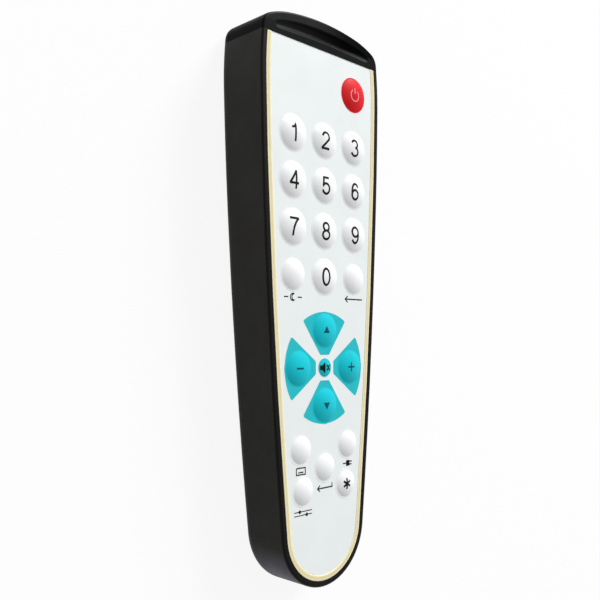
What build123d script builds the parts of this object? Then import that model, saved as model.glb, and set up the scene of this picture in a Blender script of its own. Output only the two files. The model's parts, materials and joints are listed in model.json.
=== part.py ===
from build123d import *
import math
import os

# A wipe-clean remote control, in millimetres, lying on its back with the face up and its
# infrared end towards +Y. The face slopes a little against the back, because the case is
# thicker at the infrared end.
#
# Face pieces are drawn in the face frame: z = 0 is the top of the face sheet, x runs across
# it and y along it, with y = 0 at half the length. Back pieces are drawn in the bench frame,
# whose z = 0 is the back face. on_bench() carries a shape from the face to the bench frame.

# Case walls and edges
WALL = 2.0
BACK_WALL = 2.0
FRONT_EDGE_RADIUS = 0.8
BACK_EDGE_RADIUS = 3.6
CASE_TAPER = 3.0

# Case plan: margins round the keys, and places along the edge measured from the top end
SIDE_MARGIN = 8.2
HEAD_MARGIN = 6.05
FOOT_MARGIN = 33.4
LOWER_MARGIN = 4.6
LOWER_LEAN = 5.9
ARCH_HALF = 17.0
SHOULDER_INSET = 3.75
SHOULDER_DROP = 4.3
CORNER_INSET = 0.8
CORNER_DROP = 8.4
WIDEST_DROP = 25.2
FLANK_INSET = 1.25
FLANK_DROP = 63.8

# Front: rim, border strip, face sheet and the plate that carries it
RIM_WIDTH = 2.1
RIM_RISE = 0.2
STRIP_WIDTH = 2.0
STRIP_RISE = 0.1
SHEET_THICK = 0.3
SHEET_GAP = 0.05
PLATE_THICK = 1.4
SEAM_DEPTH = 2.6
SEAL_WIDTH = 0.8
SEAL_DEPTH = 0.5

# Infrared end cap
CAP_LENGTH = 10.4
CAP_GAP = 0.05
GROOVE_PLACE = 4.9
GROOVE_END = 5.2
GROOVE_BOW = 150.0
GROOVE_RADIUS = 1.9
GROOVE_DEPTH = 1.8
GROOVE_END_DEPTH = 0.4
GROOVE_EDGE_RADIUS = 0.6
CAP_ROOF = 2.0
SPIGOT_THICK = 1.2
SPIGOT_LENGTH = 2.5
SPIGOT_GAP = 0.1

# Keys: diameters, and the gaps that set their pitch
NUMBER_KEY = 12.7
BLANK_KEY = 11.0
NAV_KEY = 12.5
SMALL_KEY = 10.0
MUTE_KEY = 6.3
DOME_RATIO = 0.09
KEY_TRAVEL = 0.8
KEY_GAP = 0.2
FLANGE_LIP = 0.6
FLANGE_THICK = 0.6
PLUNGER_RADIUS = 1.9
PILL_THICK = 0.3
ROW_GAP = 2.1
COLUMN_GAP = 1.5
POWER_STEP = 19.8
MUTE_GAP = 2.3
NAV_GAP = 4.8
CAPTION_OUT = 11.7
CAPTION_STEP = 14.3
SETUP_OUT = 10.6
LOWER_GAP = 2.6

# Keypad mat and circuit board
MAT_THICK = 0.8
MAT_INSET = 2.6
MAT_HOLE_GAP = 0.5
BOARD_THICK = 1.2
BOARD_INSET = 2.8
BOARD_END_GAP = 3.2
BOARD_ROOM = 0.2
STOP_GAP = 0.1

# Case screws, in three pairs, and the posts that carry the board
TOP_SCREW_BACK = 6.6
MIDDLE_SCREW_RISE = 22.4
LOWER_SCREW_RISE = 16.2
SCREW_EDGE = 5.6
SCREW_RADIUS = 1.2
SCREW_LENGTH = 12.0
SCREW_HEAD_RADIUS = 2.3
SCREW_HEAD_HEIGHT = 1.6
SCREW_HEAD_SINK = 3.0
SCREW_SLACK = 0.05
BOSS_RADIUS = 3.4
STUD_RADIUS = 2.6
STUD_GAP = 0.1
POST_RADIUS = 1.5
POST_EDGE = 7.0
TOP_POST_BACK = 32.2
LOWER_POST_RISE = 38.2

# Cells and battery bay
CELL_RADIUS = 5.25
CELL_LENGTH = 43.7
NUB_RADIUS = 1.9
NUB_LENGTH = 0.8
CELL_GAP = 0.7
BAY_RISE = 17.6
BAY_END_ROOM = 5.5
BAY_SIDE_GAP = 0.65
BAY_ROOF = 1.0
BAY_WALL = 1.2
CELL_LIFT = 0.6
CONTACT_THICK = 0.4
CONTACT_SIZE = 7.0
SPRING_REACH = 3.6
TAIL_WIDTH = 2.0

# Battery door, hinged on two hooks at its upper edge
DOOR_THICK = 1.8
DOOR_GAP = 0.25
DOOR_LEDGE = 2.0
DOOR_CORNER = 2.5
HINGE_ROOM = 5.5
HOOK_WIDTH = 5.0
HOOK_OUT = 7.0
HOOK_REACH = 3.2
HOOK_THICK = 1.1
HOOK_ROOT = 1.8
HOOK_POCKET = 1.2
SCREW_BAY = 11.7
PAD_WIDTH = 14.0
PAD_LENGTH = 28.0
PAD_GAP = 0.1

# Door screw and its threaded insert
DOOR_SCREW_RADIUS = 1.25
DOOR_SCREW_TIP = 0.7
DOOR_SCREW_TAPER = 2.9
DOOR_HEAD_RADIUS = 2.5
DOOR_HEAD_HEIGHT = 1.5
DOOR_HEAD_SINK = 0.3
DOOR_HEAD_SLACK = 0.4
DOOR_BOSS_WALL = 1.3
DOOR_BOSS_FLOOR = 1.8
BOSS_LIFT = 0.3
INSERT_WALL = 0.8
INSERT_LENGTH = 4.0
INSERT_SLACK = 0.15
SHANK_SLACK = 0.08
SLOT_WIDTH = 0.7
SLOT_REACH = 0.7

# Electronics under the board, placed across it and back from the end cap
CHIP_SIZE = (18.0, 7.6, 2.3)
CHIP_BACK = 34.9
CHIP_PIN = (0.5, 1.4, 0.3)
CHIP_PIN_PITCH = 1.27
CHIP_PIN_COUNT = 14
RESONATOR_SIZE = (7.0, 3.0, 4.0)
RESONATOR_PLACE = (13.0, 27.9)
CAPACITOR_RADIUS = 2.5
CAPACITOR_LENGTH = 7.0
CAPACITOR_PLACE = (-14.0, 27.9)
TRANSISTOR_SIZE = (4.4, 3.4, 4.4)
TRANSISTOR_PLACE = (0.0, 13.9)
RESISTOR_SIZE = (1.6, 3.2, 0.6)
RESISTOR_PITCH = 3.2
RESISTOR_COUNT = 5
RESISTOR_BACK = 21.9
LED_RADIUS = 2.5
LED_BODY = 5.2
LED_FLANGE = 0.4
LED_OUT = 8.0
LED_ROOM = 0.7
LED_TIP_BACK = 4.8
LEAD_SIZE = 0.5
LEAD_PITCH = 2.54
LEAD_INSET = 2.2

# Key layout, from the centre of the mute key
ROW_PITCH = NUMBER_KEY + 2 * FLANGE_LIP + ROW_GAP
COLUMN_PITCH = NUMBER_KEY + 2 * FLANGE_LIP + COLUMN_GAP
NAV_OUT = (NAV_KEY + MUTE_KEY) / 2 + 2 * FLANGE_LIP + MUTE_GAP
NUMBER_ROW_RISE = NAV_OUT + (NAV_KEY + NUMBER_KEY) / 2 + 2 * FLANGE_LIP + NAV_GAP
POWER_RISE = NUMBER_ROW_RISE + 3 * ROW_PITCH + POWER_STEP
LOWER_STEP = (SMALL_KEY + 2 * FLANGE_LIP + LOWER_GAP) / 2
CAPTION_FALL = NAV_OUT + CAPTION_STEP
ENTER_FALL = CAPTION_FALL + LOWER_STEP
SETUP_FALL = ENTER_FALL + LOWER_STEP

# Case size, from the keys and their margins
HALF_WIDTH = COLUMN_PITCH + NUMBER_KEY / 2 + SIDE_MARGIN
LENGTH = CAP_LENGTH + HEAD_MARGIN + NUMBER_KEY / 2 + POWER_RISE + SETUP_FALL + FOOT_MARGIN
HALF_LENGTH = LENGTH / 2
LOWER_RADIUS = SETUP_OUT + SMALL_KEY / 2 + LOWER_MARGIN
CAP_Y = HALF_LENGTH - CAP_LENGTH
MUTE_Y = CAP_Y - HEAD_MARGIN - NUMBER_KEY / 2 - POWER_RISE
BEYOND = LENGTH

# Levels under the face, from the face sheet down to the board
PLATE_BOTTOM = -SHEET_THICK - PLATE_THICK
FLANGE_TOP = PLATE_BOTTOM - STOP_GAP
FLANGE_BOTTOM = FLANGE_TOP - FLANGE_THICK
MAT_TOP = FLANGE_BOTTOM - KEY_TRAVEL - 2 * STOP_GAP
BOARD_TOP = MAT_TOP - MAT_THICK
BOARD_BOTTOM = BOARD_TOP - BOARD_THICK
PILL_BOTTOM = BOARD_TOP + KEY_TRAVEL + STOP_GAP
BOARD_END_Y = CAP_Y - BOARD_END_GAP

# Battery bay and door, from the back up
CELL_Z = DOOR_THICK + CELL_LIFT + CELL_RADIUS
CELL_X = CELL_RADIUS + CELL_GAP / 2
BAY_HALF_WIDTH = CELL_X + CELL_RADIUS + BAY_SIDE_GAP
BAY_TOP_Z = CELL_Z + CELL_RADIUS + CELL_GAP / 2
BAY_MIDDLE_Y = MUTE_Y + BAY_RISE
BAY_LENGTH = CELL_LENGTH + NUB_LENGTH + BAY_END_ROOM
BAY_HIGH_Y = BAY_MIDDLE_Y + BAY_LENGTH / 2
BAY_LOW_Y = BAY_MIDDLE_Y - BAY_LENGTH / 2
DOOR_HALF_WIDTH = BAY_HALF_WIDTH + DOOR_LEDGE
DOOR_HIGH_Y = BAY_HIGH_Y + HINGE_ROOM
DOOR_LOW_Y = BAY_LOW_Y - SCREW_BAY
HINGE_Y = DOOR_HIGH_Y - DOOR_THICK / 2
HINGE_Z = DOOR_THICK / 2
HOOK_LOW_Z = BACK_WALL + DOOR_GAP
HOOK_HIGH_Z = HOOK_LOW_Z + HOOK_THICK
POCKET_TOP_Z = HINGE_Z + math.hypot(HOOK_REACH, HOOK_HIGH_Z - HINGE_Z) + HOOK_POCKET / 2
POCKET_HIGH_Y = HINGE_Y + HOOK_REACH + HOOK_POCKET
DOOR_SCREW_Y = (BAY_LOW_Y - BAY_WALL + DOOR_LOW_Y) / 2
DOOR_SHOULDER_Z = DOOR_HEAD_SINK + DOOR_HEAD_HEIGHT
DOOR_BOSS_Z = DOOR_SHOULDER_Z + DOOR_BOSS_FLOOR
DOOR_BOSS_RADIUS = DOOR_HEAD_RADIUS + DOOR_HEAD_SLACK + DOOR_BOSS_WALL
PILLAR_Z = DOOR_BOSS_Z + BOSS_LIFT
INSERT_RADIUS = DOOR_SCREW_RADIUS + INSERT_SLACK + INSERT_WALL

# Thickness of the case: the board clears the bay at the bay's thin end
TILT = math.degrees(math.atan(CASE_TAPER / LENGTH))
BAY_THICK = BAY_TOP_Z + BAY_ROOF + BOARD_ROOM - BOARD_BOTTOM
MID_THICK = BAY_THICK + (BAY_WALL - BAY_LOW_Y) * CASE_TAPER / LENGTH

# Case screws
SCREW_SEAT_Z = SCREW_HEAD_SINK + SCREW_HEAD_HEIGHT
SCREW_TOP_Z = SCREW_SEAT_Z + SCREW_LENGTH
BOSS_TOP_Z = SCREW_SEAT_Z + SCREW_LENGTH / 3
SCREW_ROWS = (CAP_Y - TOP_SCREW_BACK, MUTE_Y + MIDDLE_SCREW_RISE, LOWER_SCREW_RISE - HALF_LENGTH)
POST_ROWS = (CAP_Y - TOP_POST_BACK, LOWER_POST_RISE - HALF_LENGTH)

KEYS = {
    "power": (COLUMN_PITCH, POWER_RISE, NUMBER_KEY),
    "1": (-COLUMN_PITCH, NUMBER_ROW_RISE + 3 * ROW_PITCH, NUMBER_KEY),
    "2": (0.0, NUMBER_ROW_RISE + 3 * ROW_PITCH, NUMBER_KEY),
    "3": (COLUMN_PITCH, NUMBER_ROW_RISE + 3 * ROW_PITCH, NUMBER_KEY),
    "4": (-COLUMN_PITCH, NUMBER_ROW_RISE + 2 * ROW_PITCH, NUMBER_KEY),
    "5": (0.0, NUMBER_ROW_RISE + 2 * ROW_PITCH, NUMBER_KEY),
    "6": (COLUMN_PITCH, NUMBER_ROW_RISE + 2 * ROW_PITCH, NUMBER_KEY),
    "7": (-COLUMN_PITCH, NUMBER_ROW_RISE + ROW_PITCH, NUMBER_KEY),
    "8": (0.0, NUMBER_ROW_RISE + ROW_PITCH, NUMBER_KEY),
    "9": (COLUMN_PITCH, NUMBER_ROW_RISE + ROW_PITCH, NUMBER_KEY),
    "sleep": (-COLUMN_PITCH, NUMBER_ROW_RISE, BLANK_KEY),
    "0": (0.0, NUMBER_ROW_RISE, NUMBER_KEY),
    "previous": (COLUMN_PITCH, NUMBER_ROW_RISE, BLANK_KEY),
    "channel_up": (0.0, NAV_OUT, NAV_KEY),
    "channel_down": (0.0, -NAV_OUT, NAV_KEY),
    "volume_up": (NAV_OUT, 0.0, NAV_KEY),
    "volume_down": (-NAV_OUT, 0.0, NAV_KEY),
    "mute": (0.0, 0.0, MUTE_KEY),
    "captions": (-CAPTION_OUT, -CAPTION_FALL, SMALL_KEY),
    "cable": (CAPTION_OUT, -CAPTION_FALL, SMALL_KEY),
    "enter": (0.0, -ENTER_FALL, SMALL_KEY),
    "setup": (-SETUP_OUT, -SETUP_FALL, SMALL_KEY),
    "star": (SETUP_OUT, -SETUP_FALL, SMALL_KEY),
}


def on_bench(shape):
    """Carry a shape from the face frame to the bench frame."""
    return Pos(0, 0, MID_THICK * math.cos(math.radians(TILT))) * Rot(TILT, 0, 0) * shape


def bend(start, heading, stop):
    """The middle, chord and last heading of the arc that leaves start on a heading for stop."""
    chord = math.atan2(stop[1] - start[1], stop[0] - start[0])
    half_turn = chord - heading
    bulge = math.dist(start, stop) / 2 * math.tan(half_turn / 2)
    middle = (
        (start[0] + stop[0]) / 2 + bulge * math.sin(chord),
        (start[1] + stop[1]) / 2 - bulge * math.cos(chord),
    )
    return middle, chord, chord + half_turn


def drawn_in(point, heading, distance):
    """A point of the right-hand edge, moved into the case square to the edge."""
    return (point[0] - distance * math.sin(heading), point[1] + distance * math.cos(heading))


def arch_drop(shoulder, heading):
    """How far the arch has dropped at its end, if the arc from the shoulder runs into it smoothly."""
    lean = math.tan(heading / 2)
    fall = HALF_LENGTH - shoulder[1]
    reach = lean * shoulder[0] + fall
    room = ARCH_HALF - shoulder[0] + lean * fall
    return (reach - math.sqrt(reach**2 - 4 * ARCH_HALF * room)) / 2


def inset(distance):
    """The plan of the case drawn in by a distance: arched top, bowed sides, round lower end.

    The right-hand side is a chain of arcs, each tangent to the one before, from the lower end up.
    """
    lean = math.radians(LOWER_LEAN)
    start = (LOWER_RADIUS * math.cos(lean), LOWER_RADIUS * (1 - math.sin(lean)) - HALF_LENGTH)
    heading = math.pi / 2 - lean
    stops = [
        (HALF_WIDTH - FLANK_INSET, HALF_LENGTH - FLANK_DROP),
        (HALF_WIDTH, HALF_LENGTH - WIDEST_DROP),
        (HALF_WIDTH - CORNER_INSET, HALF_LENGTH - CORNER_DROP),
        (HALF_WIDTH - SHOULDER_INSET, HALF_LENGTH - SHOULDER_DROP),
        None,
    ]
    foot = drawn_in(start, heading, distance)
    side = Curve()
    low = foot
    for stop in stops:
        stop = stop or (ARCH_HALF, HALF_LENGTH - arch_drop(start, heading))
        middle, chord, last = bend(start, heading, stop)
        high = drawn_in(stop, last, distance)
        side += ThreePointArc(low, drawn_in(middle, chord, distance), high)
        start, heading, low = stop, last, high
    arch = ThreePointArc(low, (0, HALF_LENGTH - distance), (-low[0], low[1]))
    lower = ThreePointArc(foot, (0, distance - HALF_LENGTH), (-foot[0], foot[1]))
    return make_face(side + arch + mirror(side, about=Plane.YZ) + lower)


PLAN = inset(0)


def half_width_at(y):
    """Half the width of the case at a place along its length."""
    chord = PLAN & Pos(0, y) * Rectangle(4 * HALF_WIDTH, STOP_GAP)
    return chord.bounding_box().max.X


def slab(plan, low, high):
    """A plan raised between two levels."""
    return extrude(Pos(0, 0, low) * plan, amount=high - low)


def block(x_range, y_range, z_range):
    """A box between two limits on each axis."""
    low = (x_range[0], y_range[0], z_range[0])
    size = (x_range[1] - x_range[0], y_range[1] - y_range[0], z_range[1] - z_range[0])
    return Pos(*low) * Box(*size, align=(Align.MIN, Align.MIN, Align.MIN))


def rod(radius, place, low, high):
    """An upright cylinder between two levels."""
    lift = (Align.CENTER, Align.CENTER, Align.MIN)
    return Pos(place[0], place[1], low) * Cylinder(radius, high - low, align=lift)


def face_side(low, high):
    """The space between two levels of the face frame, on the bench."""
    return on_bench(block((-BEYOND, BEYOND), (-BEYOND, BEYOND), (low, high)))


def lengthwise(low, high):
    """The space between two places along the length of the face frame, on the bench."""
    return on_bench(block((-BEYOND, BEYOND), (low, high), (-BEYOND, BEYOND)))


def above(level):
    """The space over a level of the bench."""
    return block((-BEYOND, BEYOND), (-BEYOND, BEYOND), (level, BEYOND))


def pairs(rows, edge):
    """Mirrored places on both sides of the centre line, a distance in from the edge at each row."""
    return [(side * (half_width_at(y) - edge), y) for y in rows for side in (-1, 1)]


def key_place(name):
    """The centre of a key on the face."""
    x, rise, _ = KEYS[name]
    return (x, MUTE_Y + rise)


def key_radius(name):
    return KEYS[name][2] / 2


def case_body():
    """The whole outer form, with its front and back edges rounded."""
    blank = slab(PLAN, -BEYOND, RIM_RISE)
    blank = fillet(blank.faces().sort_by(Axis.Z)[-1].edges(), FRONT_EDGE_RADIUS)
    body = on_bench(blank) & above(0)
    return fillet(body.faces().sort_by(Axis.Z)[0].edges(), BACK_EDGE_RADIUS)


BODY = case_body()
SCREW_PLACES = pairs(SCREW_ROWS, SCREW_EDGE)
POST_PLACES = pairs(POST_ROWS, POST_EDGE)


def screw_studs(radius, low):
    """Round studs under the face plate at the case screws."""
    studs = [rod(radius, place, low, 2 * MID_THICK) for place in SCREW_PLACES]
    return Part() + studs & face_side(-BEYOND, PLATE_BOTTOM + PLATE_THICK / 2)


def front_bezel():
    """Rim and face plate, with a hole for each key and studs for the case screws."""
    bezel = BODY & face_side(-SEAM_DEPTH, BEYOND) & lengthwise(-BEYOND, CAP_Y)
    bezel -= on_bench(slab(inset(WALL), -BEYOND, PLATE_BOTTOM))
    bezel -= on_bench(slab(inset(RIM_WIDTH), -SHEET_THICK, BEYOND))
    for name in KEYS:
        hole = rod(key_radius(name) + KEY_GAP, key_place(name), -BEYOND, BEYOND)
        bezel -= on_bench(hole)
    bezel += screw_studs(STUD_RADIUS, BOSS_TOP_Z + STUD_GAP)
    for place in SCREW_PLACES:
        bezel -= rod(SCREW_RADIUS + SCREW_SLACK, place, 0, SCREW_TOP_Z + SCREW_SLACK)
    return bezel


def battery_tub():
    """The block that holds the battery bay, the hook pocket and the screw pillar."""
    half = DOOR_HALF_WIDTH + DOOR_GAP + BAY_WALL
    across = (-half, half)
    bay_range = (BAY_LOW_Y - BAY_WALL, BAY_HIGH_Y + BAY_WALL)
    pocket_range = (BAY_HIGH_Y, POCKET_HIGH_Y + BAY_WALL)
    pillar_range = (DOOR_LOW_Y - DOOR_GAP - BAY_WALL, BAY_LOW_Y)
    bay = block(across, bay_range, (0, BAY_TOP_Z + BAY_ROOF))
    pocket = block(across, pocket_range, (0, POCKET_TOP_Z + BAY_ROOF))
    pillar = block(across, pillar_range, (0, PILLAR_Z + INSERT_LENGTH + BAY_ROOF))
    return bay + pocket + pillar


def door_space():
    """What is cut out of the tub for the cells, the door, its hooks and its screw boss."""
    inner = BAY_HALF_WIDTH
    edge = DOOR_HALF_WIDTH + DOOR_GAP
    cells = block((-inner, inner), (BAY_LOW_Y, BAY_HIGH_Y), (0, BAY_TOP_Z))
    door_range = (DOOR_LOW_Y - DOOR_GAP, DOOR_HIGH_Y + DOOR_GAP)
    door = block((-edge, edge), door_range, (0, BACK_WALL))
    hooks = block((-inner, inner), (BAY_HIGH_Y + BAY_WALL, POCKET_HIGH_Y), (BACK_WALL, POCKET_TOP_Z))
    boss_half = DOOR_BOSS_RADIUS + DOOR_HEAD_SLACK
    boss_range = (DOOR_LOW_Y - DOOR_GAP, BAY_LOW_Y - BAY_WALL)
    boss = block((-boss_half, boss_half), boss_range, (0, PILLAR_Z))
    insert = rod(INSERT_RADIUS, (0, DOOR_SCREW_Y), PILLAR_Z, PILLAR_Z + INSERT_LENGTH)
    return cells + door + hooks + boss + insert


def contact_slots():
    """Slots in the bay roof for the tails of the two upper contacts."""
    slots = Part()
    for side in (-1, 1):
        x = side * CELL_X
        reach = (x - TAIL_WIDTH / 2 - DOOR_GAP, x + TAIL_WIDTH / 2 + DOOR_GAP)
        along = (BAY_HIGH_Y - CONTACT_THICK - DOOR_GAP, BAY_HIGH_Y)
        slots += block(reach, along, (BAY_TOP_Z - BAY_ROOF, BAY_TOP_Z + 2 * BAY_ROOF))
    return slots


def seal_ring(high):
    """The groove for the case seal, in the middle of the wall, up to a level."""
    margin = (WALL - SEAL_WIDTH) / 2
    outer = slab(inset(margin), -SEAM_DEPTH - SEAL_DEPTH, high)
    return outer - slab(inset(WALL - margin), -BEYOND, BEYOND)


def rear_shell():
    """The deep back half, with the battery tub, screw bosses and board posts."""
    shell = BODY & face_side(-BEYOND, -SEAM_DEPTH) & lengthwise(-BEYOND, CAP_Y)
    room = on_bench(slab(inset(WALL), -BEYOND, BEYOND)) & above(BACK_WALL)
    shell -= room
    solids = battery_tub()
    solids += [rod(BOSS_RADIUS, place, 0, BOSS_TOP_Z) for place in SCREW_PLACES]
    posts = [rod(POST_RADIUS, place, BACK_WALL / 2, 2 * MID_THICK) for place in POST_PLACES]
    solids += Part() + posts & face_side(-BEYOND, BOARD_BOTTOM)
    shell += solids & on_bench(slab(inset(WALL / 2), -BEYOND, BEYOND))
    shell -= door_space()
    shell -= contact_slots()
    for place in SCREW_PLACES:
        shell -= rod(SCREW_HEAD_RADIUS + STUD_GAP, place, -BACK_WALL, SCREW_SEAT_Z)
        shell -= rod(SCREW_RADIUS + STUD_GAP, place, 0, BEYOND)
    return shell - on_bench(seal_ring(BEYOND))


def case_seal():
    """The rubber cord in the groove between the two case halves."""
    return on_bench(seal_ring(-SEAM_DEPTH)) & lengthwise(-BEYOND, CAP_Y)


def cap_groove():
    """A round-ended groove across the cap, bowed a little like the cap's edge and shallow at its ends."""
    place = CAP_Y + GROOVE_PLACE
    reach = half_width_at(place) - GROOVE_END
    back = reach**2 / (2 * GROOVE_BOW)
    rise = GROOVE_DEPTH - GROOVE_END_DEPTH
    sag = math.hypot(back, rise)
    bow = (reach**2 + sag**2) / (2 * sag)
    half_turn = math.degrees(math.asin(reach / bow))
    lean = math.degrees(math.atan2(rise, back))
    round_end = Pos(0, bow, 0) * Sphere(GROOVE_RADIUS)
    section = Plane.YZ * Pos(bow, 0) * Circle(GROOVE_RADIUS)
    groove = Rot(0, 0, -half_turn) * revolve(section, Axis.Z, 2 * half_turn)
    groove += Rot(0, 0, half_turn) * round_end + Rot(0, 0, -half_turn) * round_end
    groove = Rot(-lean, 0, 0) * Pos(0, -bow, 0) * groove
    return on_bench(Pos(0, place, RIM_RISE + GROOVE_RADIUS - GROOVE_DEPTH) * groove)


def end_cap():
    """The infrared window: it closes the top end, with a soft groove across its front."""
    cap = BODY & lengthwise(CAP_Y + CAP_GAP, BEYOND)
    cap -= cap_groove()
    rim = cap.faces().filter_by(GeomType.PLANE).filter_by(lambda face: face.inner_wires())[0]
    cap = fillet(rim.inner_wires()[0].edges(), GROOVE_EDGE_RADIUS)
    spigot = on_bench(slab(inset(WALL + SPIGOT_GAP), -BEYOND, -SEAM_DEPTH - SPIGOT_GAP))
    spigot = spigot & above(BACK_WALL + SPIGOT_GAP)
    cap += spigot & lengthwise(CAP_Y - SPIGOT_LENGTH, CAP_Y + WALL)
    roof = RIM_RISE - GROOVE_DEPTH - CAP_ROOF
    room = on_bench(slab(inset(WALL + SPIGOT_GAP + SPIGOT_THICK), -BEYOND, roof))
    return cap - (room & above(BACK_WALL + SPIGOT_GAP + SPIGOT_THICK))


def face_sheet():
    """The white face sheet, with a hole round each key."""
    edge = RIM_WIDTH + STRIP_WIDTH + SHEET_GAP
    sheet = slab(inset(edge), -SHEET_THICK, 0)
    for name in KEYS:
        sheet -= rod(key_radius(name) + KEY_GAP, key_place(name), -BEYOND, BEYOND)
    return on_bench(sheet) & lengthwise(-BEYOND, CAP_Y - SHEET_GAP)


def border_strip():
    """The pale strip that runs down both sides and round the lower end of the sheet."""
    outer = slab(inset(RIM_WIDTH + SHEET_GAP), -SHEET_THICK, STRIP_RISE)
    strip = outer - slab(inset(RIM_WIDTH + STRIP_WIDTH), -BEYOND, BEYOND)
    return on_bench(strip) & lengthwise(-BEYOND, CAP_Y - SHEET_GAP)


def key(name):
    """A domed key with its flange and plunger, and the carbon pill under it as a second solid."""
    radius = key_radius(name)
    height = KEYS[name][2] * DOME_RATIO
    crown = (radius**2 + height**2) / (2 * height)
    half_turn = math.asin(radius / crown) / 2
    middle = (crown * math.sin(half_turn), height - crown + crown * math.cos(half_turn))
    pill_top = PILL_BOTTOM + PILL_THICK
    side = Polyline(
        (radius, 0),
        (radius, FLANGE_TOP),
        (radius + FLANGE_LIP, FLANGE_TOP),
        (radius + FLANGE_LIP, FLANGE_BOTTOM),
        (PLUNGER_RADIUS, FLANGE_BOTTOM),
        (PLUNGER_RADIUS, pill_top),
        (0, pill_top),
        (0, height),
    )
    profile = make_face(side + ThreePointArc((0, height), middle, (radius, 0)))
    cap = revolve(Plane.XZ * profile, Axis.Z)
    pill = rod(PLUNGER_RADIUS, (0, 0), PILL_BOTTOM, pill_top)
    x, y = key_place(name)
    return [on_bench(Pos(x, y, 0) * piece) for piece in (cap, pill)]


def sheet_under_keys(edge, end, low, high):
    """A sheet inside the case, cut round the screw studs."""
    sheet = on_bench(slab(inset(edge), low, high)) & lengthwise(-BEYOND, end)
    for place in SCREW_PLACES:
        sheet -= rod(STUD_RADIUS + KEY_GAP, place, 0, BEYOND)
    return sheet


def keypad_mat():
    """The spacer mat on the board, open under each plunger."""
    mat = sheet_under_keys(MAT_INSET, BOARD_END_Y, BOARD_TOP, MAT_TOP)
    for name in KEYS:
        mat -= on_bench(rod(PLUNGER_RADIUS + MAT_HOLE_GAP, key_place(name), -BEYOND, BEYOND))
    return mat


def circuit_board():
    return sheet_under_keys(BOARD_INSET, BOARD_END_Y, BOARD_BOTTOM, BOARD_TOP)


def under_board(size, place):
    """A block that hangs under the board, centred at a distance across and back from the cap."""
    x, back = place
    y = CAP_Y - back
    spans = ((x - size[0] / 2, x + size[0] / 2), (y - size[1] / 2, y + size[1] / 2))
    return on_bench(block(*spans, (BOARD_BOTTOM - size[2], BOARD_BOTTOM)))


def controller_chip():
    """The control chip with a row of pins along each long side."""
    chip = under_board(CHIP_SIZE, (0, CHIP_BACK))
    for index in range(CHIP_PIN_COUNT):
        x = (index - (CHIP_PIN_COUNT - 1) / 2) * CHIP_PIN_PITCH
        for side in (-1, 1):
            back = CHIP_BACK + side * CHIP_SIZE[1] / 2
            chip += under_board((CHIP_PIN[0], 2 * CHIP_PIN[1], CHIP_PIN[2]), (x, back))
    return chip


def resistors():
    middle = (RESISTOR_COUNT - 1) / 2
    places = [((index - middle) * RESISTOR_PITCH, RESISTOR_BACK) for index in range(RESISTOR_COUNT)]
    return [under_board(RESISTOR_SIZE, place) for place in places]


def capacitor():
    """A small can that lies across the board."""
    x, back = CAPACITOR_PLACE
    can = Rot(0, 90, 0) * Cylinder(CAPACITOR_RADIUS, CAPACITOR_LENGTH)
    return on_bench(Pos(x, CAP_Y - back, BOARD_BOTTOM - CAPACITOR_RADIUS) * can)


def infrared_leds():
    """Two domed lamps that look out through the end cap, on bent leads from the board."""
    lamps = []
    base = HALF_LENGTH - LED_TIP_BACK - LED_RADIUS - LED_BODY
    tip = BOARD_END_Y - LEAD_INSET
    depth = BOARD_BOTTOM - LED_RADIUS - LED_FLANGE - LED_ROOM
    lift = (Align.CENTER, Align.CENTER, Align.MIN)
    for side in (-1, 1):
        x = side * LED_OUT
        tube = Cylinder(LED_RADIUS, LED_BODY, align=lift)
        flange = Cylinder(LED_RADIUS + LED_FLANGE, 2 * LED_FLANGE, align=lift)
        lamp = tube + flange + Pos(0, 0, LED_BODY) * Sphere(LED_RADIUS)
        lamp = Pos(x, base, depth) * Rot(-90, 0, 0) * lamp
        for lead_side in (-1, 1):
            middle = x + lead_side * LEAD_PITCH / 2
            across = (middle - LEAD_SIZE / 2, middle + LEAD_SIZE / 2)
            lamp += block(across, (tip, base), (depth - LEAD_SIZE / 2, depth + LEAD_SIZE / 2))
            lamp += block(across, (tip, tip + LEAD_SIZE), (depth, BOARD_BOTTOM))
        lamps.append(on_bench(lamp))
    return lamps


def cell(side):
    """One cell; the left one points up the case and the right one down."""
    turn = -90 if side < 0 else 90
    lift = (Align.CENTER, Align.CENTER, Align.MIN)
    can = Cylinder(CELL_RADIUS, CELL_LENGTH, align=lift)
    can += Pos(0, 0, CELL_LENGTH) * Cylinder(NUB_RADIUS, NUB_LENGTH, align=lift)
    plate_y = BAY_MIDDLE_Y - side * (BAY_LENGTH / 2 - CONTACT_THICK)
    foot = plate_y + side * (CELL_LENGTH + NUB_LENGTH)
    return Pos(side * CELL_X, foot, CELL_Z) * Rot(turn, 0, 0) * can


def plate_contact(side):
    """The flat contact that a cell's nub meets."""
    x = side * CELL_X
    wall_y = BAY_MIDDLE_Y - side * BAY_LENGTH / 2
    ends = sorted((wall_y, wall_y + side * CONTACT_THICK))
    across = (x - CONTACT_SIZE / 2, x + CONTACT_SIZE / 2)
    return block(across, ends, (CELL_Z - CONTACT_SIZE / 2, CELL_Z + CONTACT_SIZE / 2))


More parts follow.
